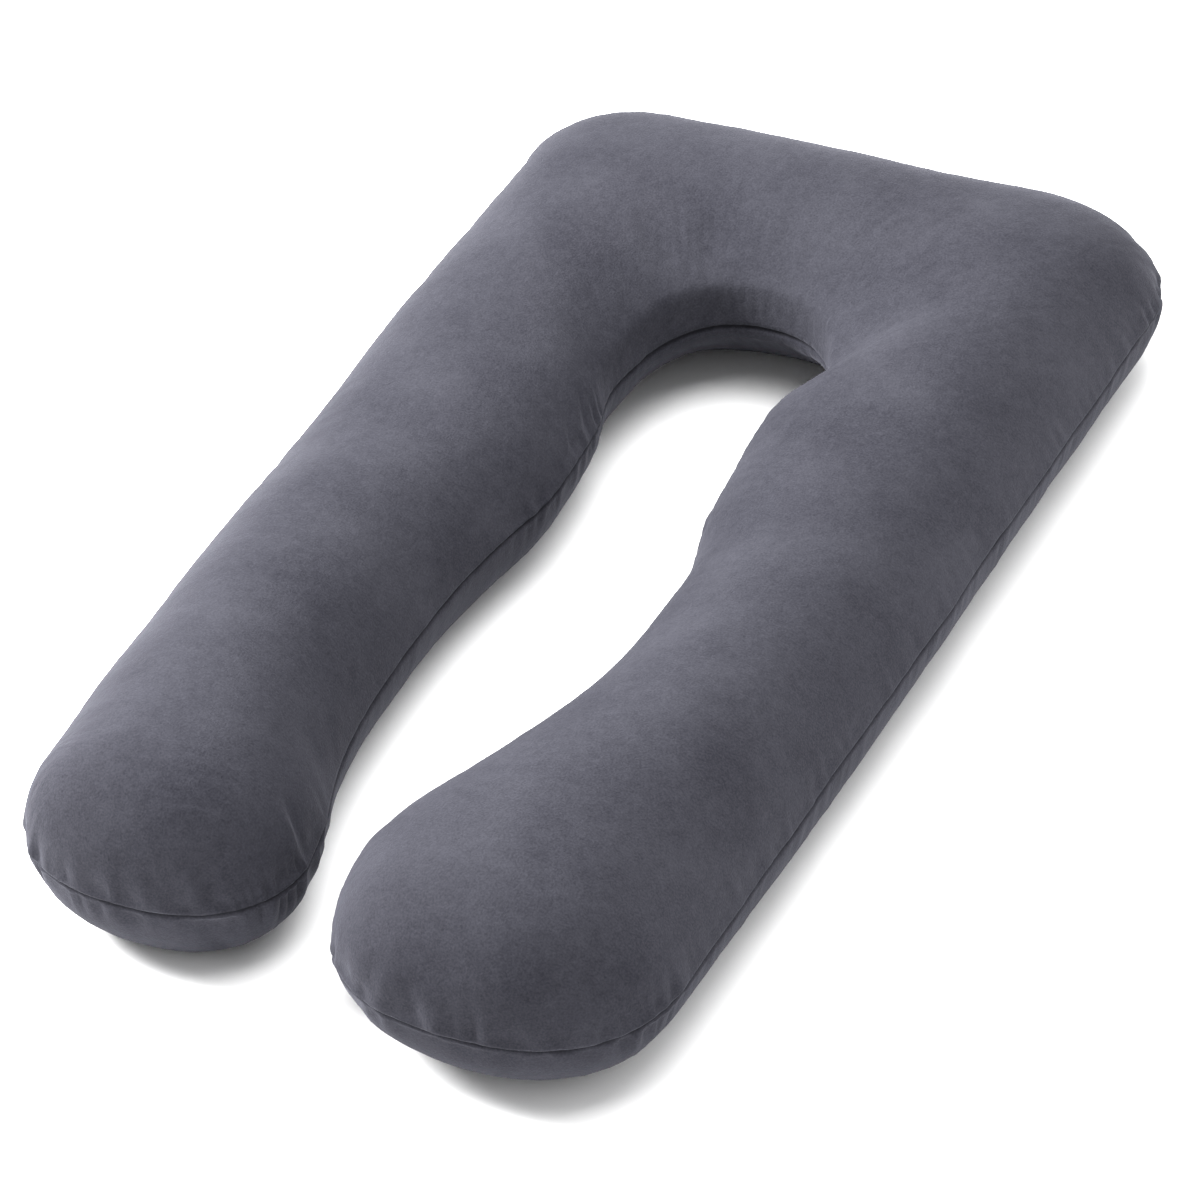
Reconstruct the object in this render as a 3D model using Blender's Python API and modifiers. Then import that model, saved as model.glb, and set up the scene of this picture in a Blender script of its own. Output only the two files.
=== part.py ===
"""U-shaped pregnancy pillow: one filled velour form, lying on its back.

Two velour panels of one u-shaped outline are sewn together by a single seam that runs all the way round,
then turned and filled with loose fibre. The person lies between the two legs, with the head on the closed
end and the neck in the round arch. The filling lifts each panel into a crown, the seam draws the sides in
at about half the height, and the weight of the filled form flattens the underside on what it lies on.

Units are metres. X runs across the two legs, Y from the feet to the head end, Z up from the surface.
"""

import math
from collections import namedtuple

import bmesh
import bpy
from mathutils import Vector

# The outline, measured along the seam. The long sides bow out a little, and both sway the same way in X.
HEAD_Y = 0.728
HALF_WIDTH = 0.397
CORNER_RADIUS = 0.128
HEAD_HOLLOW = 0.004
FOOT_TAPER = 0.029
SIDE_BOW = 0.009
SIDE_SWAY = -0.005
FOOT_START_Y = -0.565

# The round arch for the neck, half an ellipse that a power under one makes a little fuller at its sides
ARCH_CENTRE_X = 0.000
ARCH_CENTRE_Y = 0.294
ARCH_HALF_WIDTH = 0.114
ARCH_DEPTH = 0.129
ARCH_POWER = 0.85

# The seam is drawn in between two soft lips
SEAM_INSET = 0.006
LIP_RISE = 0.011

# The section beside the tight neck seam mixes a quick low shoulder with a slow rise. These are the shares of
# the shoulder above and below the seam, the power of each curve, and where the tight side ends across the
# limb. The quick curve's power falls to that of a circle as the side gets rounder.
TOP_SHOULDER = 0.46
UNDER_SHOULDER = 0.13
QUICK_POWER = 100
TOP_SLOW_POWER = 1.1
UNDER_SLOW_POWER = 1.5
TIGHT_AT_MIDDLE = 0.5
TIGHT_SLOPE = 0.8

# How far the underside is pressed past the surface that flattens it
FLATTENING = 1.18

# The cage: columns across a panel and rows in a foot, and how far out from the middle of the limb (0)
# to the seam (1) the panel's grid and its rings reach. The under grid is as wide as the flat underside.
COLUMNS = 4
FOOT_ROWS = 3
TOP_INNER = 0.70
TOP_RINGS = (0.88, 0.975)
UNDER_INNER = 0.52
UNDER_RINGS = (0.76, 0.94)
SMOOTHING = 1
WELD_DISTANCE = 0.0001

# Sections round the neck arch, from the middle of the head end outwards. The columns are: degrees round the
# arch, distance along the outer seam from the middle of the head end, rise of the crown above the seam,
# height of the seam, roundness on the arch's side above and below the seam, cage steps to the next section.
ARCH_SECTIONS = (
    (0, 0.00, 0.115, 0.106, 0.0, 0.0, 2),
    (22, 0.15, 0.115, 0.106, 0.0, 0.1, 2),
    (45, 0.29, 0.114, 0.106, 0.0, 0.4, 2),
    (65, 0.38, 0.113, 0.106, 0.0, 0.6, 2),
    (85, 0.47, 0.110, 0.106, 0.0, 0.7, 2),
)

# Sections down a leg, from the arch to the foot. The columns are: half the gap between the legs, sway of the
# gap's middle in X, Y of the inner seam, distance along the outer seam, rise of the crown above the seam,
# height of the seam, roundness on the gap's side above and below the seam, cage steps to the next section.
LEG_SECTIONS = (
    (0.100, -0.016, 0.247, 0.64, 0.105, 0.107, 0.15, 0.8, 2),
    (0.090, -0.012, 0.187, 0.79, 0.100, 0.108, 0.4, 0.9, 2),
    (0.088, -0.008, 0.115, 0.92, 0.097, 0.108, 0.65, 1.0, 2),
    (0.092, -0.003, 0.045, 1.02, 0.096, 0.107, 0.85, 1.0, 2),
    (0.108, 0.000, -0.025, 1.10, 0.098, 0.106, 1.0, 1.0, 1),
    (0.117, -0.005, -0.125, 1.20, 0.106, 0.105, 1.0, 1.0, 1),
    (0.114, -0.009, -0.225, 1.30, 0.118, 0.104, 1.0, 1.0, 1),
    (0.102, -0.017, -0.325, 1.40, 0.129, 0.102, 1.0, 1.0, 1),
    (0.076, -0.026, -0.425, 1.50, 0.135, 0.101, 1.0, 1.0, 1),
    (0.044, -0.030, -0.505, 1.58, 0.138, 0.100, 1.0, 1.0, 1),
    (0.027, -0.033, FOOT_START_Y, 1.65, 0.140, 0.099, 1.0, 1.0, 1),
)

Station = namedtuple("Station", "inner outer crown seam round_above round_below")
Foot = namedtuple("Foot", "tip_y roundness toe_in")
CageRow = namedtuple("CageRow", "station foot reach")

RIGHT_FOOT = Foot(tip_y=-0.733, roundness=2.25, toe_in=0.013)
LEFT_FOOT = Foot(tip_y=-0.685, roundness=2.25, toe_in=-0.002)

VELOUR_COLOUR = (0.115, 0.115, 0.140, 1.0)
VELOUR_ROUGHNESS = 0.95


def clear_scene():
    """Remove the objects that a new file starts with."""
    for item in list(bpy.data.objects):
        bpy.data.objects.remove(item, do_unlink=True)


def velour_material():
    """Dark slate-grey short-pile velour."""
    material = bpy.data.materials.new("slate_velour")
    material.use_nodes = True
    shader = material.node_tree.nodes["Principled BSDF"]
    shader.inputs["Base Color"].default_value = VELOUR_COLOUR
    shader.inputs["Roughness"].default_value = VELOUR_ROUGHNESS
    shader.inputs["Metallic"].default_value = 0.0
    return material


def mix(low, high, share):
    """The value a share of the way from low to high."""
    return low + (high - low) * share


def outer_point(run):
    """The point of the outer seam at a signed distance from the middle of the head end."""
    side = math.copysign(1.0, run)
    distance = abs(run)
    straight = HALF_WIDTH - CORNER_RADIUS
    corner = CORNER_RADIUS * math.pi / 2
    if distance < straight:
        hollow = HEAD_HOLLOW * (1 - (distance / straight) ** 2)
        return Vector((side * distance, HEAD_Y - hollow))
    if distance < straight + corner:
        angle = (distance - straight) / CORNER_RADIUS
        x = straight + CORNER_RADIUS * math.sin(angle)
        return Vector((side * x, HEAD_Y - CORNER_RADIUS * (1 - math.cos(angle))))
    below = distance - straight - corner
    side_length = HEAD_Y - CORNER_RADIUS - FOOT_START_Y
    share = below / side_length
    bump = 4 * share * (1 - share)
    x = HALF_WIDTH - FOOT_TAPER * share + SIDE_BOW * bump
    return Vector((side * x + SIDE_SWAY * bump, HEAD_Y - CORNER_RADIUS - below))


def side_sections(side):
    """Every section of one half: x and y of the inner seam, run, crown, seam, roundness above and below.
    The side is 1 on the right and -1 on the left, where the gap sways the other way."""
    rows = []
    for degrees, run, *shape, _ in ARCH_SECTIONS:
        angle = math.radians(degrees)
        x = ARCH_CENTRE_X + side * ARCH_HALF_WIDTH * math.sin(angle) ** ARCH_POWER
        y = ARCH_CENTRE_Y + ARCH_DEPTH * math.cos(angle)
        rows.append((x, y, side * run, *shape))
    for gap, sway, y, run, *shape, _ in LEG_SECTIONS:
        rows.append((side * gap + sway, y, side * run, *shape))
    return rows


def through_sections(before, start, end, after, share):
    """Catmull-Rom curve through two neighbouring sections, for every column at once."""
    values = []
    for a, b, c, d in zip(before, start, end, after):
        square = (2 * a - 5 * b + 4 * c - d) * share ** 2
        cube = (3 * b - a - 3 * c + d) * share ** 3
        values.append(0.5 * (2 * b + (c - a) * share + square + cube))
    return values


def limb_stations():
    """Stations from the start of the left foot, round the head end, to the start of the right foot."""
    steps = [row[-1] for row in ARCH_SECTIONS + LEG_SECTIONS][:-1]
    steps = steps[::-1] + steps
    rows = side_sections(-1)[:0:-1] + side_sections(1)
    stations = []
    for index, count in enumerate(steps):
        before = rows[max(index - 1, 0)]
        after = rows[min(index + 2, len(rows) - 1)]
        for step in range(count):
            share = step / count
            values = through_sections(before, rows[index], rows[index + 1], after, share)
            stations.append(make_station(values))
    stations.append(make_station(rows[-1]))
    return stations


def make_station(values):
    """One station: the two ends of the straight line across the limb and the section's sizes."""
    x, y, run, crown, seam, *roundness = values
    above, below = (min(1.0, max(0.0, value)) for value in roundness)
    return Station(Vector((x, y)), outer_point(run), crown, seam, above, below)


def cage_rows():
    """Every row of the cage, from the tip of the left foot to the tip of the right foot."""
    stations = limb_stations()
    reaches = [step / FOOT_ROWS for step in range(1, FOOT_ROWS + 1)]
    left = [CageRow(stations[0], LEFT_FOOT, reach) for reach in reversed(reaches)]
    limb = [CageRow(station, None, 0.0) for station in stations]
    right = [CageRow(stations[-1], RIGHT_FOOT, reach) for reach in reaches]
    return left + limb + right


def plan_point(row, across, forward):
    """Where a point of the limb lies in plan. Across runs from the inner seam (-1) to the outer seam (1)
    and forward from the start of a foot (0) to its tip (1)."""
    middle = (row.station.inner + row.station.outer) / 2
    half = (row.station.outer - row.station.inner) / 2
    if row.foot is None:
        return middle + half * across
    angle = math.atan2(forward, across)
    power = row.foot.roundness
    stretch = (abs(math.cos(angle)) ** power + abs(math.sin(angle)) ** power) ** (-1 / power)
    length = middle.y - row.foot.tip_y
    toe_in = -math.copysign(row.foot.toe_in, half.x) * (forward * stretch) ** 2
    return middle + half * across * stretch + Vector((toe_in, -length * forward * stretch))


def section_height(station, across, depth, underside):
    """Height of a panel at a depth from the middle of the limb (0) to the seam (1). A free section is round.
    Beside the neck the tight inner seam leaves a quick low shoulder and a slow rise behind it."""
    depth = min(depth, 1.0)
    circle = math.sqrt(1 - depth ** 2)
    slow = (1 - depth ** 2) ** (UNDER_SLOW_POWER if underside else TOP_SLOW_POWER)
    inner = min(1.0, max(0.0, TIGHT_AT_MIDDLE - TIGHT_SLOPE * across))
    free = station.round_below if underside else station.round_above
    quick = math.sqrt(1 - depth ** (2 * (QUICK_POWER / 2) ** (1 - free)))
    tight = (1 - free) * inner * inner * (3 - 2 * inner)
    shoulder = UNDER_SHOULDER if underside else TOP_SHOULDER
    bulge = mix(circle, mix(slow, quick, shoulder), tight)
    if underside:
        return station.seam * (1 - min(1.0, FLATTENING * bulge))
    return station.seam + station.crown * bulge


def disc_point(across, forward):
    """Carry a point of the square onto the round disc, so that a foot's rows end on its rounded edge."""
    return across * math.sqrt(1 - forward ** 2 / 2), forward * math.sqrt(1 - across ** 2 / 2)


def place_ring(layers, rows, verts, depth, rise, underside):
    """Set a ring of the cage at one depth. A rise places it by the seam's height instead of the section's."""
    for vert in verts:
        row = rows[vert[layers["row"]]]
        across = vert[layers["across"]] * depth
        forward = vert[layers["forward"]] * depth
        plan = plan_point(row, across, forward)
        if rise is None:
            height = section_height(row.station, across, depth, underside)
        else:
            height = row.station.seam + rise
        vert.co = Vector((plan.x, plan.y, height))


def grow_rim(cage, rim):
    """Extrude the rim of a panel outwards and return the new verts and the new rim."""
    grown = bmesh.ops.extrude_edge_only(cage, edges=rim)["geom"]
    verts = {item for item in grown if isinstance(item, bmesh.types.BMVert)}
    edges = [edge for edge in cage.edges if edge.verts[0] in verts and edge.verts[1] in verts]
    return verts, edges


def add_panel(cage, layers, rows, inner, rings, underside):
    """One panel of the cage: a grid down the middle of the limb, then rings out to the seam."""
    last = len(rows) - 1
    grid = bmesh.ops.create_grid(cage, x_segments=COLUMNS, y_segments=last, size=1.0)["verts"]
    for vert in grid:
        vert[layers["row"]] = round((vert.co.y + 1) / 2 * last)
        row = rows[vert[layers["row"]]]
        across, forward = disc_point(vert.co.x, row.reach)
        vert[layers["across"]] = across
        vert[layers["forward"]] = forward
        depth = inner * math.hypot(across, forward)
        plan = plan_point(row, across * inner, forward * inner)
        height = section_height(row.station, across * inner, depth, underside)
        vert.co = Vector((plan.x, plan.y, height))
    grid = set(grid)
    rim = [edge for edge in cage.edges if edge.is_boundary and edge.verts[0] in grid]
    for depth in rings:
        verts, rim = grow_rim(cage, rim)
        place_ring(layers, rows, verts, depth, None, underside)
    verts, rim = grow_rim(cage, rim)
    place_ring(layers, rows, verts, 1.0, -LIP_RISE if underside else LIP_RISE, underside)
    verts, rim = grow_rim(cage, rim)
    place_seam(rows, layers, verts)


def place_seam(rows, layers, verts):
    """Draw the seam in between its lips, by the same amount all the way round."""
    for vert in verts:
        row = rows[vert[layers["row"]]]
        half_width = (row.station.outer - row.station.inner).length / 2
        depth = 1 - SEAM_INSET / half_width
        plan = plan_point(row, vert[layers["across"]] * depth, vert[layers["forward"]] * depth)
        vert.co = Vector((plan.x, plan.y, row.station.seam))
        vert[layers["seam"]] = 1


def pillow_cage():
    """The coarse cage of the whole pillow, its two panels welded along the seam."""
    cage = bmesh.new()
    layers = {
        "row": cage.verts.layers.int.new("row"),
        "seam": cage.verts.layers.int.new("seam"),
        "across": cage.verts.layers.float.new("across"),
        "forward": cage.verts.layers.float.new("forward"),
    }
    rows = cage_rows()
    add_panel(cage, layers, rows, TOP_INNER, TOP_RINGS, underside=False)
    add_panel(cage, layers, rows, UNDER_INNER, UNDER_RINGS, underside=True)
    bmesh.ops.remove_doubles(cage, verts=cage.verts, dist=WELD_DISTANCE)
    bmesh.ops.recalc_face_normals(cage, faces=cage.faces)
    crease = cage.edges.layers.float.new("crease_edge")
    for edge in cage.edges:
        if edge.verts[0][layers["seam"]] and edge.verts[1][layers["seam"]]:
            edge[crease] = 1.0
    return cage


def add_pillow(collection):
    """The filled form: the cage, smoothed, with the seam kept as a crisp drawn-in line."""
    cage = pillow_cage()
    mesh = bpy.data.meshes.new("pillow")
    cage.to_mesh(mesh)
    cage.free()
    mesh.shade_smooth()
    mesh.materials.append(velour_material())
    pillow = bpy.data.objects.new("pillow", mesh)
    collection.objects.link(pillow)
    smoothing = pillow.modifiers.new("filled_form", "SUBSURF")
    smoothing.levels = SMOOTHING
    smoothing.render_levels = SMOOTHING
    return pillow


def main():
    """Build the pillow in a collection of its own."""
    clear_scene()
    collection = bpy.data.collections.new("u_shaped_pregnancy_pillow")
    bpy.context.scene.collection.children.link(collection)
    add_pillow(collection)


main()
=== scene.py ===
# %% [markdown]
# # A u-shaped pregnancy pillow in slate velour
# The pillow is two velour panels sewn together round one long seam, turned, and filled with loose fibre.
# The plain solid of it comes packed, and it gives the size and the place. This script makes the cloth
# form that stands in for that solid. Everything is in metres: X runs across the two legs, Y from the feet
# to the head end, and Z up from the floor.

# %% Load the solid and keep its box
import math

import bmesh
import bpy
import numpy as np
from mathutils import Matrix, Vector


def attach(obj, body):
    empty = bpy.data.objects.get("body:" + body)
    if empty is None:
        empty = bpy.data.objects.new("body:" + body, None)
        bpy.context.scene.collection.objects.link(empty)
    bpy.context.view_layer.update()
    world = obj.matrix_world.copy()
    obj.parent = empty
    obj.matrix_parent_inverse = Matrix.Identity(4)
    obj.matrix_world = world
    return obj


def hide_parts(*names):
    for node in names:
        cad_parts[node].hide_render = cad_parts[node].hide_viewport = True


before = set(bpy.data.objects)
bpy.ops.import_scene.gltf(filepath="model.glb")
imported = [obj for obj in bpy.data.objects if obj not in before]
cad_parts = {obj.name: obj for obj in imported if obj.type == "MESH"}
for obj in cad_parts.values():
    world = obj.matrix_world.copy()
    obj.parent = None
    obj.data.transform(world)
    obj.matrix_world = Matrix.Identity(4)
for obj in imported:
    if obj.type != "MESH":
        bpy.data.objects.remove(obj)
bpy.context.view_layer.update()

SOLID = "pillow"

# %% [markdown]
# # The camera
# A product picture of a long pillow is taken from well back with a long lens, so that the near foot does
# not look bigger than the far end. The angles say how far the camera stands round from the foot end, how
# high it looks down, and how much it is rolled. The lens is for a sensor 36 mm wide.

# %% Place the camera
VIEW_AZIMUTH = 29.30
VIEW_ELEVATION = 38.86
VIEW_ROLL = -5.26
VIEW_DISTANCE = 5.428
VIEW_TARGET = Vector((0.0151, -0.0517, 0.080))
SENSOR_MM = 36.0
LENS_MM = 151.9


def add_camera():
    """A camera that looks at the target from the given angles."""
    azimuth, elevation, roll = (math.radians(v) for v in (VIEW_AZIMUTH, VIEW_ELEVATION, VIEW_ROLL))
    flat = math.cos(elevation)
    back = Vector((math.sin(azimuth) * flat, -math.cos(azimuth) * flat, math.sin(elevation)))
    level = Vector((0, 0, 1)).cross(back).normalized()
    upright = back.cross(level)
    right = level * math.cos(roll) + upright * math.sin(roll)
    up = upright * math.cos(roll) - level * math.sin(roll)
    data = bpy.data.cameras.new("camera")
    data.sensor_width = SENSOR_MM
    data.lens = LENS_MM
    camera = bpy.data.objects.new("camera", data)
    place = VIEW_TARGET + back * VIEW_DISTANCE
    camera.matrix_world = Matrix.Translation(place) @ Matrix((right, up, back)).transposed().to_4x4()
    bpy.context.scene.collection.objects.link(camera)
    bpy.context.scene.camera = camera
    return camera


camera = add_camera()
print("camera at", [round(value, 2) for value in camera.matrix_world.translation])

# %% [markdown]
# # The pattern of the pillow
# A pillow maker draws one u-shaped outline and sews two panels along it. What the eye reads first is that
# outline and how high the filling lifts the cloth above it, so both come from short tables of sections. A
# section runs straight across the limb from the inner seam to the outer seam. The curve through the
# sections is smooth, so a few of them describe the whole limb. These are the sizes of the solid too.

# %% Sizes of the outline and of the sections
HEAD_Y = 0.728
HALF_WIDTH = 0.397
CORNER_RADIUS = 0.128
HEAD_HOLLOW = 0.004
FOOT_TAPER = 0.029
SIDE_BOW = 0.009
SIDE_SWAY = -0.005
FOOT_START_Y = -0.565
ARCH_CENTRE_X = 0.000
ARCH_CENTRE_Y = 0.294
ARCH_HALF_WIDTH = 0.114
ARCH_DEPTH = 0.129
ARCH_POWER = 0.85

# Degrees round the neck arch, distance along the outer seam, rise of the crown above the seam, height of
# the seam, and how round the arch's side is above and below the seam
ARCH_SECTIONS = (
    (0, 0.00, 0.115, 0.106, 0.0, 0.0),
    (22, 0.15, 0.115, 0.106, 0.0, 0.1),
    (45, 0.29, 0.114, 0.106, 0.0, 0.4),
    (65, 0.38, 0.113, 0.106, 0.0, 0.6),
    (85, 0.47, 0.110, 0.106, 0.0, 0.7),
)

# Half the gap between the legs, sway of the gap's middle, Y of the inner seam, distance along the outer
# seam, rise of the crown, height of the seam, and how round the gap's side is above and below the seam
LEG_SECTIONS = (
    (0.100, -0.016, 0.247, 0.64, 0.105, 0.107, 0.15, 0.8),
    (0.090, -0.012, 0.187, 0.79, 0.100, 0.108, 0.4, 0.9),
    (0.088, -0.008, 0.115, 0.92, 0.097, 0.108, 0.65, 1.0),
    (0.092, -0.003, 0.045, 1.02, 0.096, 0.107, 0.85, 1.0),
    (0.108, 0.000, -0.025, 1.10, 0.098, 0.106, 1.0, 1.0),
    (0.117, -0.005, -0.125, 1.20, 0.106, 0.105, 1.0, 1.0),
    (0.114, -0.009, -0.225, 1.30, 0.118, 0.104, 1.0, 1.0),
    (0.102, -0.017, -0.325, 1.40, 0.129, 0.102, 1.0, 1.0),
    (0.076, -0.026, -0.425, 1.50, 0.135, 0.101, 1.0, 1.0),
    (0.044, -0.030, -0.505, 1.58, 0.138, 0.100, 1.0, 1.0),
    (0.027, -0.033, FOOT_START_Y, 1.65, 0.140, 0.099, 1.0, 1.0),
)

# Y of the tip, and how far the tip turns in towards the other foot
LEFT_FOOT = (-0.685, -0.002)
RIGHT_FOOT = (-0.733, 0.013)
FOOT_ROUNDNESS = 2.25

# The two curves of a section beside the tight neck seam, and the pressing flat of the underside
TOP_SHOULDER = 0.46
UNDER_SHOULDER = 0.13
QUICK_POWER = 100
TOP_SLOW_POWER = 1.1
UNDER_SLOW_POWER = 1.5
TIGHT_AT_MIDDLE = 0.5
TIGHT_SLOPE = 0.8
FLATTENING = 1.18

# %% [markdown]
# # From sections to a net of rows
# The net needs rows about a centimetre apart, close enough to carry gathers once it is subdivided. Each
# row keeps its two seam points and its section's sizes. The rows of a foot all hang on the last section
# and reach out from it to the tip.

# %% The outer seam
ROW_SPACING = 0.0098
FOOT_ROWS = 20
# Rows on each side over which the eased path is averaged
EASED_ROWS = 7


def outer_seam(run):
    """The outer seam at signed distances from the middle of the head end."""
    distance = np.abs(run)
    straight = HALF_WIDTH - CORNER_RADIUS
    turn = np.clip((distance - straight) / CORNER_RADIUS, 0, math.pi / 2)
    below = np.maximum(distance - straight - CORNER_RADIUS * math.pi / 2, 0)
    share = below / (HEAD_Y - CORNER_RADIUS - FOOT_START_Y)
    bump = 4 * share * (1 - share)
    side = SIDE_BOW * bump - FOOT_TAPER * share
    x = np.minimum(distance, straight) + CORNER_RADIUS * np.sin(turn) + side
    hollow = HEAD_HOLLOW * np.clip(1 - (distance / straight) ** 2, 0, 1)
    y = HEAD_Y - hollow - CORNER_RADIUS * (1 - np.cos(turn)) - below
    return np.stack([np.copysign(x, run) + SIDE_SWAY * bump, y], axis=1)


# %% The rows of the limb


def half_sections(side):
    """The sections of one half, each as inner x and y, run and shape. The side is 1 right and -1 left."""
    rows = []
    for degrees, run, *shape in ARCH_SECTIONS:
        angle = math.radians(degrees)
        x = ARCH_CENTRE_X + side * ARCH_HALF_WIDTH * math.sin(angle) ** ARCH_POWER
        rows.append((x, ARCH_CENTRE_Y + ARCH_DEPTH * math.cos(angle), side * run, *shape))
    for gap, sway, y, run, *shape in LEG_SECTIONS:
        rows.append((side * gap + sway, y, side * run, *shape))
    return rows


def limb_rows():
    """Rows from the start of the left foot, round the head end, to the start of the right foot."""
    table = np.array(half_sections(-1)[:0:-1] + half_sections(1))
    rows = []
    for index in range(len(table) - 1):
        a, b, c, d = (table[min(max(index + k, 0), len(table) - 1)] for k in (-1, 0, 1, 2))
        count = round(abs(c[2] - b[2]) / ROW_SPACING)
        t = np.arange(count)[:, None] / count
        square = (2 * a - 5 * b + 4 * c - d) * t ** 2
        cube = (3 * b - a - 3 * c + d) * t ** 3
        rows.append(0.5 * (2 * b + (c - a) * t + square + cube))
    return np.vstack(rows + [table[-1:]])


def eased(path):
    """The inner seam's path with its sharp turns averaged away over the neighbouring rows."""
    window = np.hanning(2 * EASED_ROWS + 3)[1:-1]
    padded = np.pad(path, ((EASED_ROWS, EASED_ROWS), (0, 0)), mode="edge")
    return np.stack([np.convolve(column, window / window.sum(), "valid") for column in padded.T], axis=1)


# %% All the rows, with the feet


def all_rows():
    """Every row from the tip of the left foot to the tip of the right foot, as named columns."""
    limb = limb_rows()
    reach = np.arange(1, FOOT_ROWS + 1) / FOOT_ROWS
    count = len(limb)
    index = np.concatenate([np.zeros(FOOT_ROWS, int), np.arange(count), np.full(FOOT_ROWS, count - 1)])
    full = limb[index]
    left = index < count / 2
    return {
        "inner": full[:, :2],
        "eased": eased(full[:, :2]),
        "outer": outer_seam(full[:, 2]),
        "crown": full[:, 3],
        "seam": full[:, 4],
        "above": np.clip(full[:, 5], 0, 1),
        "below": np.clip(full[:, 6], 0, 1),
        "reach": np.concatenate([reach[::-1], np.zeros(count), reach]),
        "tip": np.where(left, LEFT_FOOT[0], RIGHT_FOOT[0]),
        "toe_in": np.where(left, LEFT_FOOT[1], RIGHT_FOOT[1]),
    }


rows = all_rows()
row_count = len(rows["reach"])
print(row_count, "rows from foot to foot")

# %% [markdown]
# # Where a point of the panel lies
# A point of a panel is given by its row and by how far it is from the middle of the limb, 0, to the seam,
# 1. In plan it lies on the straight line across the limb, and in a foot on a rounded half disc. In height
# a free side is a round arc, as in any stuffed tube. Beside the neck the inner seam is cut shorter, so it
# holds the cloth in and leaves a steep wall with a low shoulder.

# %% Plan and height of a point
# The crown doesn't follow the sharp turns of the neck seam. These are the depths, 0 in the middle of the
# limb and 1 at the seam, between which it comes to follow them.
EASED_FROM = 0.75
EASED_TO = 0.97


def mix(low, high, share):
    """The value a share of the way from low to high."""
    return low + (high - low) * share


def plan_points(row, across, forward):
    """Plan position from the share across the limb (-1 inner, 1 outer) and forward in a foot (0 to 1)."""
    outer = rows["outer"][row]
    reach = np.clip((EASED_TO - np.hypot(across, forward)) / (EASED_TO - EASED_FROM), 0, 1)
    ease = (1 - rows["above"][row]) * reach * reach * (3 - 2 * reach)
    inner = mix(rows["inner"][row], rows["eased"][row], ease[:, None])
    middle, half = (inner + outer) / 2, (outer - inner) / 2
    angle = np.arctan2(forward, across)
    sides = np.abs(np.cos(angle)) ** FOOT_ROUNDNESS + np.abs(np.sin(angle)) ** FOOT_ROUNDNESS
    stretch = sides ** (-1 / FOOT_ROUNDNESS)
    length = middle[:, 1] - rows["tip"][row]
    toe_in = np.copysign(rows["toe_in"][row], half[:, 0]) * (forward * stretch) ** 2
    plan = middle + half * (across * stretch)[:, None]
    return plan - np.stack([toe_in, length * forward * stretch], axis=1)


def panel_height(row, across, depth, underside):
    """Height of a panel at a depth from the middle of the limb (0) to the seam (1)."""
    depth = np.minimum(depth, 1.0)
    circle = np.sqrt(1 - depth ** 2)
    slow = (1 - depth ** 2) ** (UNDER_SLOW_POWER if underside else TOP_SLOW_POWER)
    inner = np.clip(TIGHT_AT_MIDDLE - TIGHT_SLOPE * across, 0, 1)
    free = rows["below" if underside else "above"][row]
    quick = np.sqrt(1 - depth ** (2 * (QUICK_POWER / 2) ** (1 - free)))
    tight = (1 - free) * inner * inner * (3 - 2 * inner)
    shoulder = UNDER_SHOULDER if underside else TOP_SHOULDER
    bulge = mix(circle, mix(slow, quick, shoulder), tight)
    if underside:
        return rows["seam"][row] * (1 - np.minimum(1.0, FLATTENING * bulge))
    return rows["seam"][row] + rows["crown"][row] * bulge


# %% [markdown]
# # The net of one closed cloth
# Each panel is a grid down the middle of the limb with rings round it out to the seam. Rings follow the
# seam all the way round, so a groove or a gather can run cleanly along it. They lie closer together near
# the seam, where the detail is. A ring is placed by its turn: 0 degrees on the crown, 90 at the seam.

# %% Build the net
COLUMNS = 16
TOP_TURNS = (44.4, 51, 58, 65, 71.5, 77, 82, 86, 88.5)
UNDER_TURNS = (31.3, 45, 57, 68, 78, 85, 88.5)


def border_loop(columns):
    """Row and column of the grid's border, once round."""
    last = columns - 1
    row = np.concatenate([np.arange(row_count), np.full(last - 1, row_count - 1),
                          np.arange(row_count)[::-1], np.zeros(last - 1, int)])
    column = np.concatenate([np.zeros(row_count, int), np.arange(1, last),
                             np.full(row_count, last), np.arange(1, last)[::-1]])
    return row, column


def strip_faces(first, second):
    """Quads between two loops of vertex numbers."""
    return np.stack([first, np.roll(first, -1), np.roll(second, -1), second], axis=1)


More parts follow.
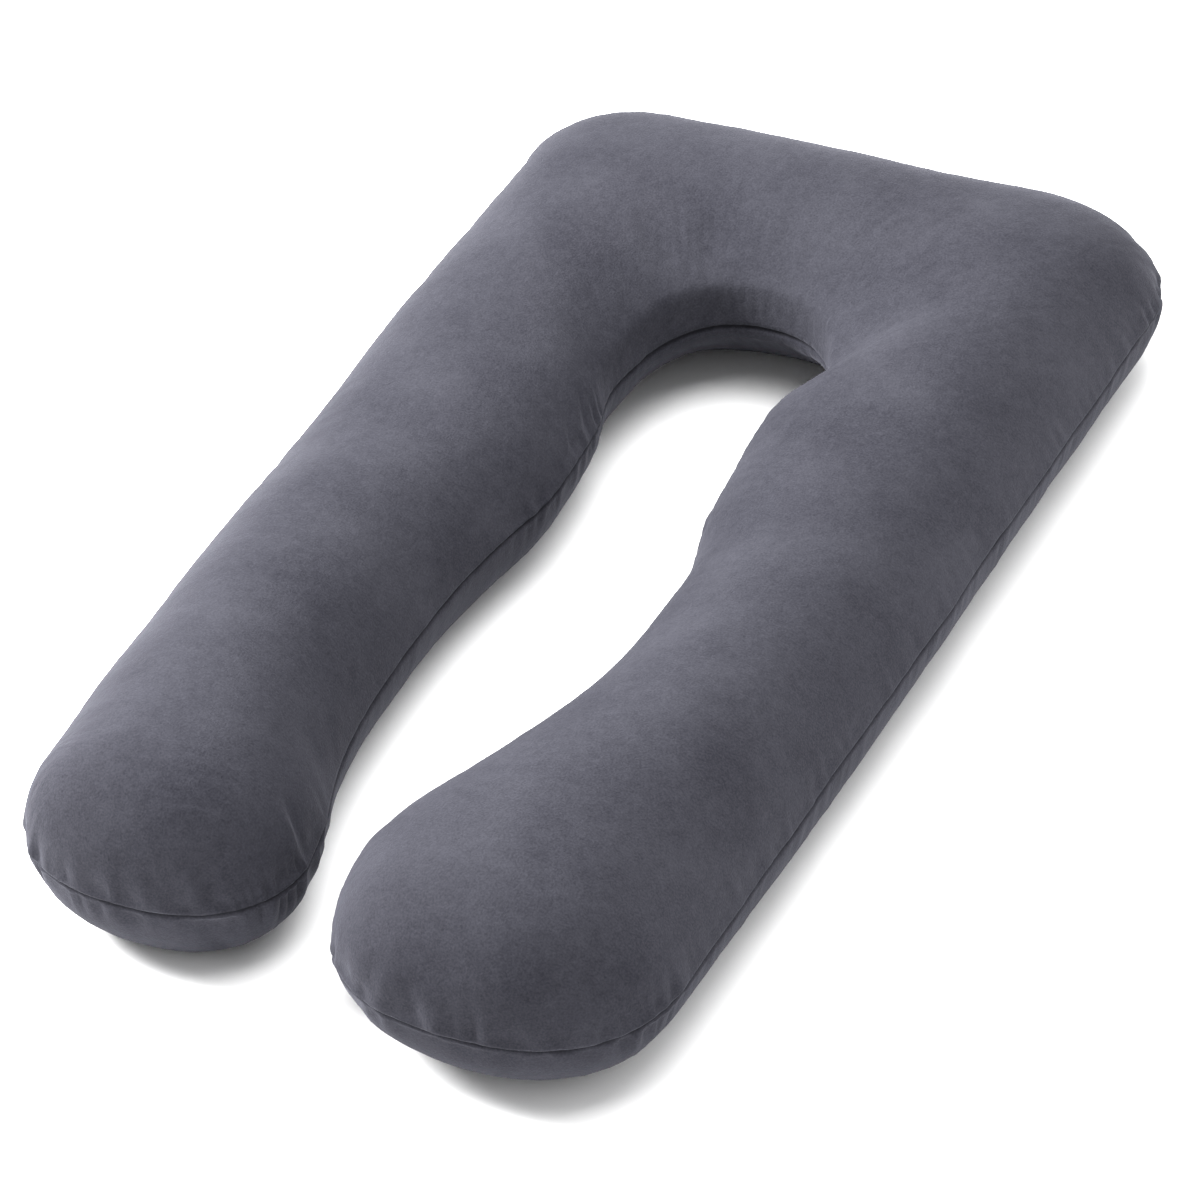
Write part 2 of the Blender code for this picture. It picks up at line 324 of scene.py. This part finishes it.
def build_net():
    """The net's vertices, its quads, and the loops between the borders of the top and the under grid."""
    columns = COLUMNS + 1
    grid_row, grid_column = (a.ravel() for a in np.indices((row_count, columns)))
    across = np.linspace(-1, 1, columns)[grid_column]
    reach = rows["reach"][grid_row]
    across, forward = across * np.sqrt(1 - reach ** 2 / 2), reach * np.sqrt(1 - across ** 2 / 2)
    border = np.ravel_multi_index(border_loop(columns), (row_count, columns))
    vertices, faces, loops, start = [], [], [], 0

    def place(row, side, ahead, depth, underside):
        share = depth * np.hypot(side, ahead)
        plan = plan_points(row, side * depth, ahead * depth)
        height = panel_height(row, side * depth, share, underside)
        vertices.append(np.column_stack([plan, height]))

    def add_grid(turn, underside):
        place(grid_row, across, forward, math.sin(math.radians(turn)), underside)
        number = np.arange(row_count * columns).reshape(row_count, columns) + start
        corners = (number[:-1, :-1], number[1:, :-1], number[1:, 1:], number[:-1, 1:])
        faces.append(np.stack([c.ravel() for c in corners], axis=1))
        loops.append(number.ravel()[border])

    add_grid(TOP_TURNS[0], False)
    start += row_count * columns
    turns = [(turn, False) for turn in TOP_TURNS[1:]] + [(90, False)]
    turns += [(turn, True) for turn in UNDER_TURNS[:0:-1]]
    for turn, underside in turns:
        place(grid_row[border], across[border], forward[border], math.sin(math.radians(turn)), underside)
        loops.append(np.arange(len(border)) + start)
        start += len(border)
    add_grid(UNDER_TURNS[0], True)
    faces += [strip_faces(a, b) for a, b in zip(loops, loops[1:])]
    return np.vstack(vertices), np.vstack(faces), np.array(loops)


net, quads, loops = build_net()
SEAM_LOOP = len(TOP_TURNS)
print(len(net), "points and", len(quads), "quads;", loops.shape[1], "points round the seam")

# %% [markdown]
# # What each point knows about the seam
# Seam detail needs three facts at every point: the distance to the seam over the cloth, above it positive
# and below it negative, the seam point that the cloth there leads to, and how much cloth is gathered there.
# A stuffed shape pulls its outline in, so the more the outline turns outwards, as round the feet and the
# head corners, the more spare cloth there is at the seam. Where it turns inwards, as at the neck, the
# cloth is stretched smooth.

# %% Measure the seam
STRAIGHT_GATHER = 0.22
GATHER_PER_TURN = 0.13
TURN_SPREAD = 12


def smooth_round(values, times):
    """Average each value with its neighbours on a closed loop, a number of times."""
    for _ in range(times):
        values = (np.roll(values, 1, axis=0) + 2 * values + np.roll(values, -1, axis=0)) / 4
    return values


def seam_facts():
    """The signed gap to the seam, the seam point and the share of gathering, for every point of the net."""
    lines = net[loops]
    steps = np.linalg.norm(np.diff(lines, axis=0), axis=2)
    along = np.concatenate([np.zeros((1, steps.shape[1])), np.cumsum(steps, axis=0)])
    gaps = along[SEAM_LOOP] - along
    seam = lines[SEAM_LOOP]
    ahead = np.roll(seam, -1, axis=0) - seam
    length = np.linalg.norm(ahead[:, :2], axis=1)
    heading = np.unwrap(np.arctan2(ahead[:, 1], ahead[:, 0]))
    turn = np.diff(heading, append=heading[0] + 2 * math.pi * round((heading[-1] - heading[0]) / 2 / math.pi))
    outward = smooth_round(turn, TURN_SPREAD) / smooth_round(length, TURN_SPREAD)
    outward *= math.copysign(1, np.sum(turn))
    share = np.clip(STRAIGHT_GATHER + GATHER_PER_TURN * outward, 0, 1)
    share = smooth_round(share, TURN_SPREAD)
    far = gaps.max() + np.zeros(len(net))
    far[net[:, 2] < np.median(seam[:, 2])] = gaps.min()
    points, gathered = net.copy(), np.zeros(len(net))
    for loop, gap in zip(loops, gaps):
        far[loop], points[loop], gathered[loop] = gap, seam, share
    return far, points, gathered


seam_gap, seam_point, gathered = seam_facts()
print("gathering from", round(gathered.min(), 2), "to", round(gathered.max(), 2))

# %% Make the net a mesh


def make_mesh(name, points, faces):
    """A mesh with its faces turned outwards, and the seam facts on its points."""
    mesh = bpy.data.meshes.new(name)
    mesh.from_pydata(points.tolist(), [], faces.tolist())
    work = bmesh.new()
    work.from_mesh(mesh)
    bmesh.ops.recalc_face_normals(work, faces=work.faces)
    work.to_mesh(mesh)
    work.free()
    facts = (("seam_gap", "FLOAT", "value", seam_gap), ("gathered", "FLOAT", "value", gathered),
             ("seam_point", "FLOAT_VECTOR", "vector", seam_point))
    for title, kind, field, values in facts:
        attribute = mesh.attributes.new(title, kind, "POINT")
        attribute.data.foreach_set(field, values.astype(np.float32).ravel())
    mesh.shade_smooth()
    return mesh


pillow = bpy.data.objects.new("velour_pillow", make_mesh("velour_pillow", net, quads))
bpy.context.scene.collection.objects.link(pillow)

# %% [markdown]
# # Fill it
# The cloth is blown up a little from inside, as the fibre does, in a short cloth simulation with no
# gravity. The seam and the flat underside are held. Near the gathered parts of the seam the cloth is a
# few per cent longer than its seam, so it buckles there by itself into soft folds. A cap keeps each point
# close to where the sections put it, so the size stays right.

# %% Helpers for points and weights


def coordinates(mesh):
    """The points of a mesh as an array."""
    flat = np.empty(len(mesh.vertices) * 3, np.float32)
    mesh.vertices.foreach_get("co", flat)
    return flat.reshape(-1, 3).astype(float)


def write_coordinates(mesh, points):
    """Put the points back."""
    mesh.vertices.foreach_set("co", points.astype(np.float32).ravel())
    mesh.update()


def weigh(item, name, weights):
    """A vertex group with a weight for each point."""
    group = item.vertex_groups.new(name=name)
    for number in np.flatnonzero(weights > 0):
        group.add([int(number)], float(weights[number]), "REPLACE")


# %% Simulate the filling
PRESSURE = 4.0
FRAMES = 20
# Share by which the cloth is cut longer at a fully gathered seam, and how far from the seam that reaches
SPARE_CLOTH = 0.10
SPARE_REACH = 0.070
# How far the filling may move a point
CAP = 0.008
# Points lower than this lie on the floor and are held
FLAT_BELOW = 0.0008
# A start that is a little uneven, so that the cloth can buckle
START_UNEVEN = 0.0004
START_SEED = 7
# Velour on a loose filling: it hardly stretches, shears easily and bends softly
CLOTH = {"quality": 6, "mass": 0.25, "tension_stiffness": 15, "compression_stiffness": 15,
         "shear_stiffness": 5, "bending_stiffness": 0.3, "use_pressure": True,
         "uniform_pressure_force": PRESSURE, "vertex_group_mass": "held",
         "vertex_group_shrink": "spare", "shrink_min": 0.0, "shrink_max": -SPARE_CLOTH}


def fill(item):
    """Run the filling on an object and keep the capped result."""
    before = coordinates(item.data)
    random = np.random.default_rng(START_SEED)
    write_coordinates(item.data, before + random.normal(0, START_UNEVEN, before.shape))
    held = np.zeros(len(before))
    held[loops[SEAM_LOOP]] = 1
    held[before[:, 2] < FLAT_BELOW] = 1
    spare = gathered * np.clip(1 - np.abs(seam_gap) / SPARE_REACH, 0, 1)
    weigh(item, "held", held)
    weigh(item, "spare", spare)
    cloth = item.modifiers.new("filling", "CLOTH")
    for name, value in CLOTH.items():
        setattr(cloth.settings, name, value)
    cloth.settings.effector_weights.gravity = 0
    cloth.collision_settings.use_collision = False
    cloth.point_cache.frame_end = FRAMES
    scene = bpy.context.scene
    for number in range(1, FRAMES + 1):
        scene.frame_set(number)
    graph = bpy.context.evaluated_depsgraph_get()
    after = coordinates(item.evaluated_get(graph).data)
    item.modifiers.remove(cloth)
    scene.frame_set(1)
    item.vertex_groups.clear()
    move = after - before
    length = np.linalg.norm(move, axis=1)
    capped = CAP * np.tanh(length / CAP) / np.maximum(length, 1e-9)
    write_coordinates(item.data, before + move * capped[:, None])
    return length


moved = fill(pillow)
print("the filling moved the cloth by", round(1000 * float(np.mean(moved)), 1), "mm on average and",
      round(1000 * float(np.max(moved)), 1), "mm at most before the cap")

# %% [markdown]
# # One way to add a node
# The material and the geometry tree are both long rows of nodes, so one small function adds any node, sets
# it up and links it.

# %% A helper that adds a node


def add_node(tree, kind, inputs=(), **settings):
    """Add a node, set it up, and fill or link its inputs. A node as a value links its first output."""
    node = tree.nodes.new(kind)
    for name, value in settings.items():
        setattr(node, name, value)
    for key, value in dict(inputs).items():
        if isinstance(value, bpy.types.Node):
            value = next(socket for socket in value.outputs if socket.enabled)
        if isinstance(value, bpy.types.NodeSocket):
            tree.links.new(value, node.inputs[key])
        else:
            node.inputs[key].default_value = value
    return node


# %% [markdown]
# # The velour
# The cover is a knitted velour: a polyester pile about 2 mm long, sheared level and brushed. A short pile
# swallows the light that falls straight on it and catches the light that grazes it, so it is matt, with no
# gloss, and pale at the edges. Where a hand has stroked it, the pile leans and looks lighter or darker.
# Three noises make that: clouds, brush marks and tufts. Sheen gives the pale edge. The brush marks and the
# tufts are bump too, because they stand up by only a millimetre or so. The material is made before the
# tree, which hands it to the mesh.

# %% Colours and sizes of the velour


def colour(code):
    """Turn a sRGB hex value to linear red, green, blue and alpha."""
    parts = [int(code[i:i + 2], 16) / 255 for i in (1, 3, 5)]
    return [p / 12.92 if p <= 0.04045 else ((p + 0.055) / 1.055) ** 2.4 for p in parts] + [1.0]


# Pile that leans to the light, pile that leans away, and the shade down in the seam
PILE_LIGHT = "#34343a"
PILE_DARK = "#222228"
SEAM_SHADE = "#17171a"
SHEEN_TINT = "#b4b4c2"
# Width of the clouds, the brush marks and the tufts. A tuft is really about 0.3 mm wide. It is drawn 2.2 mm
# wide, so that it shows.
CLOUD_SIZE = 0.110
BRUSH_SIZE = 0.012
GRAIN_SIZE = 0.0022
# Share of the brush marks beside the clouds, and of the tufts beside both
BRUSH_SHARE = 0.45
GRAIN_SHARE = 0.40
# The middle of the noise's range, where the pile goes from dark to light
NAP_RANGE = (0.36, 0.64)
# Height of the brush marks and of the tufts in the bump, and how strongly each shows
BRUSH_HEIGHT, BRUSH_STRENGTH = 0.0020, 0.35
GRAIN_HEIGHT, GRAIN_STRENGTH = 0.0008, 0.60
# Roughness between the brush marks and on them
ROUGHNESS = (0.85, 1.0)
# How far from the stitches the shade reaches, and how dense it is there
SHADE_REACH = 0.0025
SHADE_SHARE = 0.8

# %% Make the velour


def velour_material():
    """Short-pile velour, knitted, sheared and brushed. Its pile stands up, so it is matt from above and
    light at the edges, and where the pile has been stroked it shows soft clouds and flecks."""
    material = bpy.data.materials.new("slate_velour_brushed")
    material.use_nodes = True
    tree = material.node_tree
    tree.nodes.clear()
    place = add_node(tree, "ShaderNodeTexCoord").outputs["Object"]
    cloud = add_node(tree, "ShaderNodeTexNoise", {"Vector": place, "Scale": 1 / CLOUD_SIZE, "Detail": 3.0})
    brush = add_node(tree, "ShaderNodeTexNoise", {"Vector": place, "Scale": 1 / BRUSH_SIZE, "Detail": 4.0,
                                                  "Roughness": 0.6, "Distortion": 0.4})
    grain = add_node(tree, "ShaderNodeTexNoise", {"Vector": place, "Scale": 1 / GRAIN_SIZE, "Detail": 2.0})
    broad = add_node(tree, "ShaderNodeMix", {0: BRUSH_SHARE, 2: cloud, 3: brush})
    fine = add_node(tree, "ShaderNodeMix", {0: GRAIN_SHARE, 2: broad, 3: grain})
    nap = add_node(tree, "ShaderNodeMapRange", {0: fine, 1: NAP_RANGE[0], 2: NAP_RANGE[1]})
    pile = add_node(tree, "ShaderNodeMix", {0: nap, 6: colour(PILE_DARK), 7: colour(PILE_LIGHT)},
                    data_type="RGBA")
    # Painted shade: close to the seam the pile colour is darkened towards SEAM_SHADE, where the groove is in
    # shadow.
    gap = add_node(tree, "ShaderNodeAttribute", attribute_name="seam_gap").outputs["Fac"]
    near = add_node(tree, "ShaderNodeMath", {0: gap}, operation="ABSOLUTE")
    inside = add_node(tree, "ShaderNodeMapRange", {0: near, 1: 0.0, 2: SHADE_REACH, 3: SHADE_SHARE, 4: 0.0},
                      interpolation_type="SMOOTHSTEP")
    shade = add_node(tree, "ShaderNodeMix", {0: inside, 6: pile.outputs[2], 7: colour(SEAM_SHADE)},
                     data_type="RGBA")
    rough = add_node(tree, "ShaderNodeMapRange", {0: brush, 1: 0.3, 2: 0.7, 3: ROUGHNESS[0],
                                                  4: ROUGHNESS[1]})
    low = add_node(tree, "ShaderNodeBump", {"Height": brush, "Strength": BRUSH_STRENGTH,
                                            "Distance": BRUSH_HEIGHT})
    high = add_node(tree, "ShaderNodeBump", {"Height": grain, "Strength": GRAIN_STRENGTH,
                                             "Distance": GRAIN_HEIGHT, "Normal": low})
    shader = add_node(tree, "ShaderNodeBsdfPrincipled", {
        "Base Color": shade.outputs[2], "Roughness": rough, "Normal": high, "Metallic": 0.0, "IOR": 1.46,
        "Specular IOR Level": 0.08, "Sheen Weight": 0.13, "Sheen Roughness": 0.40,
        "Sheen Tint": colour(SHEEN_TINT)})
    add_node(tree, "ShaderNodeOutputMaterial", {"Surface": shader})
    return material


velour = velour_material()
print("material", velour.name, "with", len(velour.node_tree.nodes), "nodes")

# %% [markdown]
# # The sewn line and its gathers
# The seam is a thin dark line because both panels turn in to it, and the velour darkens its colour in the
# groove with a painted shade. The upper panel rolls over it in a small lip. From it short folds run up and
# down, some 50 mm long. They follow the seam by a rule, so geometry nodes make them: the height at a point
# is looked up from its distance to the seam, and the folds are a noise 22 mm wide that changes only along
# the seam. A sharp valley lies wherever the noise passes its middle, about every 11 mm. The sizes of the
# folds are inputs of the tree.

# %% Sizes of the sewn line
# The profile across the seam: distance from it over the cloth, below it negative, and how far the cloth
# stands out, both in millimetres.
SEAM_PROFILE = ((-30, 0.0), (-12, 0.2), (-5, 0.0), (-1.8, -1.5), (0, -3.6), (1.5, -1.4), (3.4, 0.8),
                (6.5, 1.0), (14, 0.3), (30, 0.0))
# How strong a gather is at a distance from the seam, in millimetres.
GATHER_FADE = ((0, 0.0), (3, 0.15), (8, 0.85), (14, 1.0), (30, 0.6), (48, 0.2), (70, 0.0))
GATHER_HEIGHT = 0.0060
GATHER_SPACING = 0.022
# How far the noise swings from its middle on a fold's crest, and the height of valley and crest
FOLD_SWING = 0.22
VALLEY, CREST = -1.0, 0.5
# The folds differ in length: noise that changes less often stretches their distance from the seam
LENGTH_RATE = 0.45
LENGTH_STRETCH = (0.75, 1.9)
# The two panels are gathered apart from each other: their noises are this far from one another
PANEL_SHIFT = 7.3
# Broad unevenness of the filling, which comes in between these heights over the floor
LUMP_HEIGHT = 0.003
LUMP_SIZE = 0.16
LUMP_FROM = (0.02, 0.10)
SEED = 5

# %% Look a size up in a table


def look_up(tree, source, table):
    """Nodes that look a size up in a table of two columns, of which the first is in millimetres."""
    table = np.array(table, float)
    low, high = table.min(axis=0), table.max(axis=0)
    share = add_node(tree, "ShaderNodeMapRange", {0: source, 1: low[0] / 1000, 2: high[0] / 1000})
    node = add_node(tree, "ShaderNodeFloatCurve", {"Value": share})
    points = node.mapping.curves[0].points
    wanted = (table - low) / (high - low)
    for _ in range(len(wanted) - 2):
        points.new(0.5, 0.5)
    for point, place in zip(points, wanted):
        point.location = place
    node.mapping.update()
    return add_node(tree, "ShaderNodeMapRange", {0: node, 3: low[1], 4: high[1]})


# %% The tree of the sewn line


def sewn_tree():
    """The tree that draws the seam in, gathers the cloth beside it and leaves the filling a little uneven."""
    tree = bpy.data.node_groups.new("sewn_line_and_gathers", "GeometryNodeTree")
    face = tree.interface
    face.new_socket("Geometry", in_out="INPUT", socket_type="NodeSocketGeometry")
    face.new_socket("Geometry", in_out="OUTPUT", socket_type="NodeSocketGeometry")
    for name, value in (("Gather Height", GATHER_HEIGHT), ("Gather Spacing", GATHER_SPACING),
                        ("Lump Height", LUMP_HEIGHT), ("Lump Size", LUMP_SIZE), ("Seed", SEED)):
        face.new_socket(name, in_out="INPUT", socket_type="NodeSocketFloat").default_value = value
    face.new_socket("Material", in_out="INPUT", socket_type="NodeSocketMaterial")
    given = add_node(tree, "NodeGroupInput").outputs
    gap = add_node(tree, "GeometryNodeInputNamedAttribute", {"Name": "seam_gap"}, data_type="FLOAT")
    share = add_node(tree, "GeometryNodeInputNamedAttribute", {"Name": "gathered"}, data_type="FLOAT")
    point = add_node(tree, "GeometryNodeInputNamedAttribute", {"Name": "seam_point"},
                     data_type="FLOAT_VECTOR")
    place = add_node(tree, "GeometryNodeInputPosition")
    below = add_node(tree, "FunctionNodeCompare", {0: gap, 1: 0.0}, operation="LESS_THAN")
    side = add_node(tree, "ShaderNodeMath", {0: below, 1: PANEL_SHIFT}, operation="MULTIPLY")
    salt = add_node(tree, "ShaderNodeMath", {0: side, 1: given["Seed"]}, operation="ADD")
    often = add_node(tree, "ShaderNodeMath", {0: 1.0, 1: given["Gather Spacing"]}, operation="DIVIDE")
    folds = add_node(tree, "ShaderNodeTexNoise", {"Vector": point, "W": salt, "Scale": often, "Detail": 1.5,
                                                  "Roughness": 0.45}, noise_dimensions="4D")
    swing = add_node(tree, "ShaderNodeMath", {0: folds, 1: 0.5}, operation="SUBTRACT")
    puff = add_node(tree, "ShaderNodeMath", {0: swing}, operation="ABSOLUTE")
    fold = add_node(tree, "ShaderNodeMapRange", {0: puff, 1: 0.0, 2: FOLD_SWING, 3: VALLEY, 4: CREST})
    rarely = add_node(tree, "ShaderNodeMath", {0: often, 1: LENGTH_RATE}, operation="MULTIPLY")
    lengths = add_node(tree, "ShaderNodeTexNoise", {"Vector": point, "W": salt, "Scale": rarely},
                       noise_dimensions="4D")
    longer = add_node(tree, "ShaderNodeMapRange", {0: lengths, 1: 0.3, 2: 0.7, 3: LENGTH_STRETCH[0],
                                                   4: LENGTH_STRETCH[1]})
    away = add_node(tree, "ShaderNodeMath", {0: gap}, operation="ABSOLUTE")
    apart = add_node(tree, "ShaderNodeMath", {0: away, 1: longer}, operation="MULTIPLY")
    fade = look_up(tree, apart, GATHER_FADE)
    for factor in (fade, share, given["Gather Height"]):
        fold = add_node(tree, "ShaderNodeMath", {0: fold, 1: factor}, operation="MULTIPLY")
    groove = look_up(tree, gap, SEAM_PROFILE)
    groove = add_node(tree, "ShaderNodeMath", {0: groove, 1: 0.001}, operation="MULTIPLY")
    broad = add_node(tree, "ShaderNodeMath", {0: 1.0, 1: given["Lump Size"]}, operation="DIVIDE")
    lumps = add_node(tree, "ShaderNodeTexNoise", {"Vector": place, "W": given["Seed"], "Scale": broad,
                                                  "Detail": 1.0}, noise_dimensions="4D")
    lump = add_node(tree, "ShaderNodeMapRange", {0: lumps, 1: 0.25, 2: 0.75, 3: -1.0, 4: 1.0})
    height = add_node(tree, "ShaderNodeSeparateXYZ", {0: place}).outputs["Z"]
    free = add_node(tree, "ShaderNodeMapRange", {0: height, 1: LUMP_FROM[0], 2: LUMP_FROM[1]})
    for factor in (free, given["Lump Height"]):
        lump = add_node(tree, "ShaderNodeMath", {0: lump, 1: factor}, operation="MULTIPLY")
    total = add_node(tree, "ShaderNodeMath", {0: fold, 1: groove}, operation="ADD")
    total = add_node(tree, "ShaderNodeMath", {0: total, 1: lump}, operation="ADD")
    normal = add_node(tree, "GeometryNodeInputNormal")
    offset = add_node(tree, "ShaderNodeVectorMath", {0: normal, "Scale": total}, operation="SCALE")
    moved = add_node(tree, "GeometryNodeSetPosition", {"Geometry": given["Geometry"], "Offset": offset})
    real = add_node(tree, "GeometryNodeRealizeInstances", {"Geometry": moved})
    dressed = add_node(tree, "GeometryNodeSetMaterial", {"Geometry": real, "Material": given["Material"]})
    add_node(tree, "NodeGroupOutput", {"Geometry": dressed})
    return tree


# %% [markdown]
# # Folds that no rule gives
# A sewn pillow also has a few folds that come from how it was stuffed and laid down: the pulled tuck at
# the end seam of the left foot, the creases inside its heel, the puckers where the left leg's inner seam
# turns, and the slack beside the neck. Each is a short line over the cloth, and the cloth is pressed in
# along it. That is shape, not bump, so the mesh itself has them too.

# %% The table of folds
# Start, end, half width and depth, in metres
FOLDS = (
    ((-0.123, -0.655, 0.150), (-0.119, -0.663, 0.104), 0.007, 0.0080),
    ((-0.119, -0.663, 0.096), (-0.130, -0.644, 0.038), 0.008, 0.0085),
    ((-0.083, -0.548, 0.176), (-0.061, -0.569, 0.108), 0.008, 0.0035),
    ((-0.174, -0.674, 0.150), (-0.172, -0.682, 0.110), 0.006, 0.0030),
    ((-0.208, -0.668, 0.160), (-0.206, -0.684, 0.110), 0.006, 0.0035),
    ((-0.233, -0.664, 0.165), (-0.238, -0.682, 0.112), 0.006, 0.0030),
    ((0.097, -0.705, 0.158), (0.095, -0.720, 0.110), 0.006, 0.0030),
    ((0.142, -0.715, 0.152), (0.140, -0.730, 0.108), 0.006, 0.0035),
    ((0.207, -0.718, 0.145), (0.209, -0.734, 0.106), 0.006, 0.0030),
    ((-0.119, 0.190, 0.165), (-0.104, 0.160, 0.122), 0.006, 0.0025),
    ((-0.114, 0.150, 0.160), (-0.098, 0.120, 0.120), 0.006, 0.0025),
    ((-0.172, 0.457, 0.211), (-0.110, 0.415, 0.170), 0.016, 0.0018),
    ((-0.095, 0.490, 0.205), (-0.070, 0.430, 0.175), 0.018, 0.0018),
)
# The ridge beside a valley: its share of the valley's depth, and its place in half widths
RIDGE_SHARE = 0.30
RIDGE_PLACE = 1.6
# Folds fade out this near the seam, which stays a clean line
FOLD_STOP = 0.010

# %% [markdown]
# # Subdivide, fold and sew
# One subdivision rounds the net off and gives the folds room. The folds are pressed in, and then the tree
# works on the points. The result is kept as a plain mesh with no modifier left.

# %% Press the folds in


def keep_evaluated(item):
    """Swap an object's mesh for what its modifiers make of it, and remove them."""
    bpy.context.view_layer.update()
    graph = bpy.context.evaluated_depsgraph_get()
    mesh = bpy.data.meshes.new_from_object(item.evaluated_get(graph), depsgraph=graph)
    item.modifiers.clear()
    item.data = mesh
    return mesh


def fold_cloth(item):
    """Press each fold of the table into the cloth: a valley with a soft ridge on one side of it."""
    mesh = item.data
    points = coordinates(mesh)
    normals = np.empty(len(points) * 3, np.float32)
    mesh.vertices.foreach_get("normal", normals)
    normals = normals.reshape(-1, 3).astype(float)
    # Each point's distance from a fold's line is split into across the fold and beyond its ends.
    lift = np.zeros(len(points))
    for start, end, width, depth in FOLDS:
        start, line = np.array(start), np.array(end) - np.array(start)
        share = (points - start) @ line / (line @ line)
        apart = points - start - np.clip(share, 0, 1)[:, None] * line
        aside = np.cross(line, normals)
        aside /= np.maximum(np.linalg.norm(aside, axis=1), 1e-9)[:, None]
        across = np.einsum("ij,ij->i", apart, aside) / width
        beyond = np.sqrt(np.maximum(np.einsum("ij,ij->i", apart, apart) / width ** 2 - across ** 2, 0))
        fade = np.exp(-beyond ** 2) * np.clip(1.15 - np.abs(2 * np.clip(share, 0, 1) - 1) ** 2, 0, 1)
        ridge = RIDGE_SHARE * np.exp(-(across - RIDGE_PLACE) ** 2)
        lift += depth * fade * (ridge - np.exp(-across ** 2))
    gap = np.empty(len(points), np.float32)
    mesh.attributes["seam_gap"].data.foreach_get("value", gap)
    lift *= np.minimum(np.abs(gap) / FOLD_STOP, 1)
    write_coordinates(mesh, points + normals * lift[:, None])


# %% Finish the mesh


def sew(item, tree):
    """Subdivide the net, press the folds in and run the tree on it."""
    rounding = item.modifiers.new("rounding", "SUBSURF")
    rounding.levels = 1
    rounding.render_levels = 1
    keep_evaluated(item)
    fold_cloth(item)
    sewing = item.modifiers.new("sewing", "NODES")
    sewing.node_group = tree
    for socket in tree.interface.items_tree:
        if socket.in_out == "INPUT" and socket.name == "Material":
            sewing[socket.identifier] = velour
    mesh = keep_evaluated(item)
    points = coordinates(mesh)
    points[:, 2] = np.maximum(points[:, 2], 0)
    write_coordinates(mesh, points)
    mesh.shade_smooth()


sew(pillow, sewn_tree())
pillow.data.name = "velour_pillow"
points = coordinates(pillow.data)
print(len(pillow.data.polygons) * 2, "triangles; box", points.min(0).round(3), points.max(0).round(3))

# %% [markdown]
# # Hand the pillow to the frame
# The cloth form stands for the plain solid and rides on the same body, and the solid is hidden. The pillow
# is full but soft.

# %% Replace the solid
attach(pillow, "root")
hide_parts(SOLID)

# %% [markdown]
# # Floor and light
# A pale floor with no edge in view keeps the picture plain. It is lit until it is white, so only the
# soft shadow close round the pillow shows on it. The main light is a wide soft one, high on the left, and
# a still wider one hangs overhead to open the shadow under the neck. The studio is white all round and
# brightest at the back, which rims the head end and leaves the slopes that face the viewer in shade.

# %% The floor
FLOOR_SIDE = 30.0
FLOOR_COLOUR = "#f9f9f9"


def add_floor():
    """A large square floor under the pillow."""
    half = FLOOR_SIDE / 2
    mesh = bpy.data.meshes.new("floor")
    mesh.from_pydata([(-half, -half, 0), (half, -half, 0), (half, half, 0), (-half, half, 0)], [],
                     [(0, 1, 2, 3)])
    paper = bpy.data.materials.new("matt_pale_paper")
    paper.use_nodes = True
    shader = paper.node_tree.nodes["Principled BSDF"]
    shader.inputs["Base Color"].default_value = colour(FLOOR_COLOUR)
    shader.inputs["Roughness"].default_value = 1.0
    shader.inputs["Specular IOR Level"].default_value = 0.0
    mesh.materials.append(paper)
    floor = bpy.data.objects.new("floor", mesh)
    bpy.context.scene.collection.objects.link(floor)


add_floor()

# %% The two lamps
# Name, direction from the pillow, distance, side of the square, power in watts
LIGHTS = (
    ("key_left", (-0.80, -0.10, 0.58), 4.0, 1.8, 700),
    ("overhead", (0.05, 0.05, 1.0), 4.0, 3.4, 290),
)


def add_light(name, direction, distance, side, power):
    """A square soft light aimed at the middle of the pillow."""
    data = bpy.data.lights.new(name, "AREA")
    data.shape = "SQUARE"
    data.size = side
    data.energy = power
    light = bpy.data.objects.new(name, data)
    back = Vector(direction).normalized()
    light.location = VIEW_TARGET + back * distance
    light.rotation_euler = back.to_track_quat("Z", "Y").to_euler()
    bpy.context.scene.collection.objects.link(light)


for light in LIGHTS:
    add_light(*light)

# %% The studio all round
WALL_LIGHT = 1.0
CEILING_LIGHT = 1.2
# Height of the direction, 0 level and 1 straight up, where the ceiling's brightness is reached
CEILING_FROM = 0.9
# How much brighter the studio is on the right and at the back than on average
RIGHT_SHARE = 0.26
BACK_SHARE = 0.60


def set_sky():
    """White light from all round, brightest at the back and on the right."""
    world = bpy.data.worlds.new("studio")
    world.use_nodes = True
    tree = world.node_tree
    place = add_node(tree, "ShaderNodeTexCoord").outputs["Generated"]
    toward = add_node(tree, "ShaderNodeSeparateXYZ", {0: place}).outputs
    level = add_node(tree, "ShaderNodeMapRange", {0: toward["Z"], 1: 0.0, 2: CEILING_FROM,
                                                  3: WALL_LIGHT, 4: CEILING_LIGHT})
    right = add_node(tree, "ShaderNodeMapRange", {0: toward["X"], 1: -1.0, 2: 1.0, 3: 1 - RIGHT_SHARE,
                                                  4: 1 + RIGHT_SHARE})
    back = add_node(tree, "ShaderNodeMapRange", {0: toward["Y"], 1: -1.0, 2: 1.0, 3: 1 - BACK_SHARE,
                                                 4: 1 + BACK_SHARE})
    for share in (right, back):
        level = add_node(tree, "ShaderNodeMath", {0: level, 1: share}, operation="MULTIPLY")
    tree.links.new(level.outputs[0], tree.nodes["Background"].inputs["Strength"])
    tree.nodes["Background"].inputs["Color"].default_value = (1.0, 1.0, 1.0, 1.0)
    bpy.context.scene.world = world


set_sky()
# The plain tone curve keeps the floor white and the greys as the materials give them.
bpy.context.scene.view_settings.view_transform = "Standard"
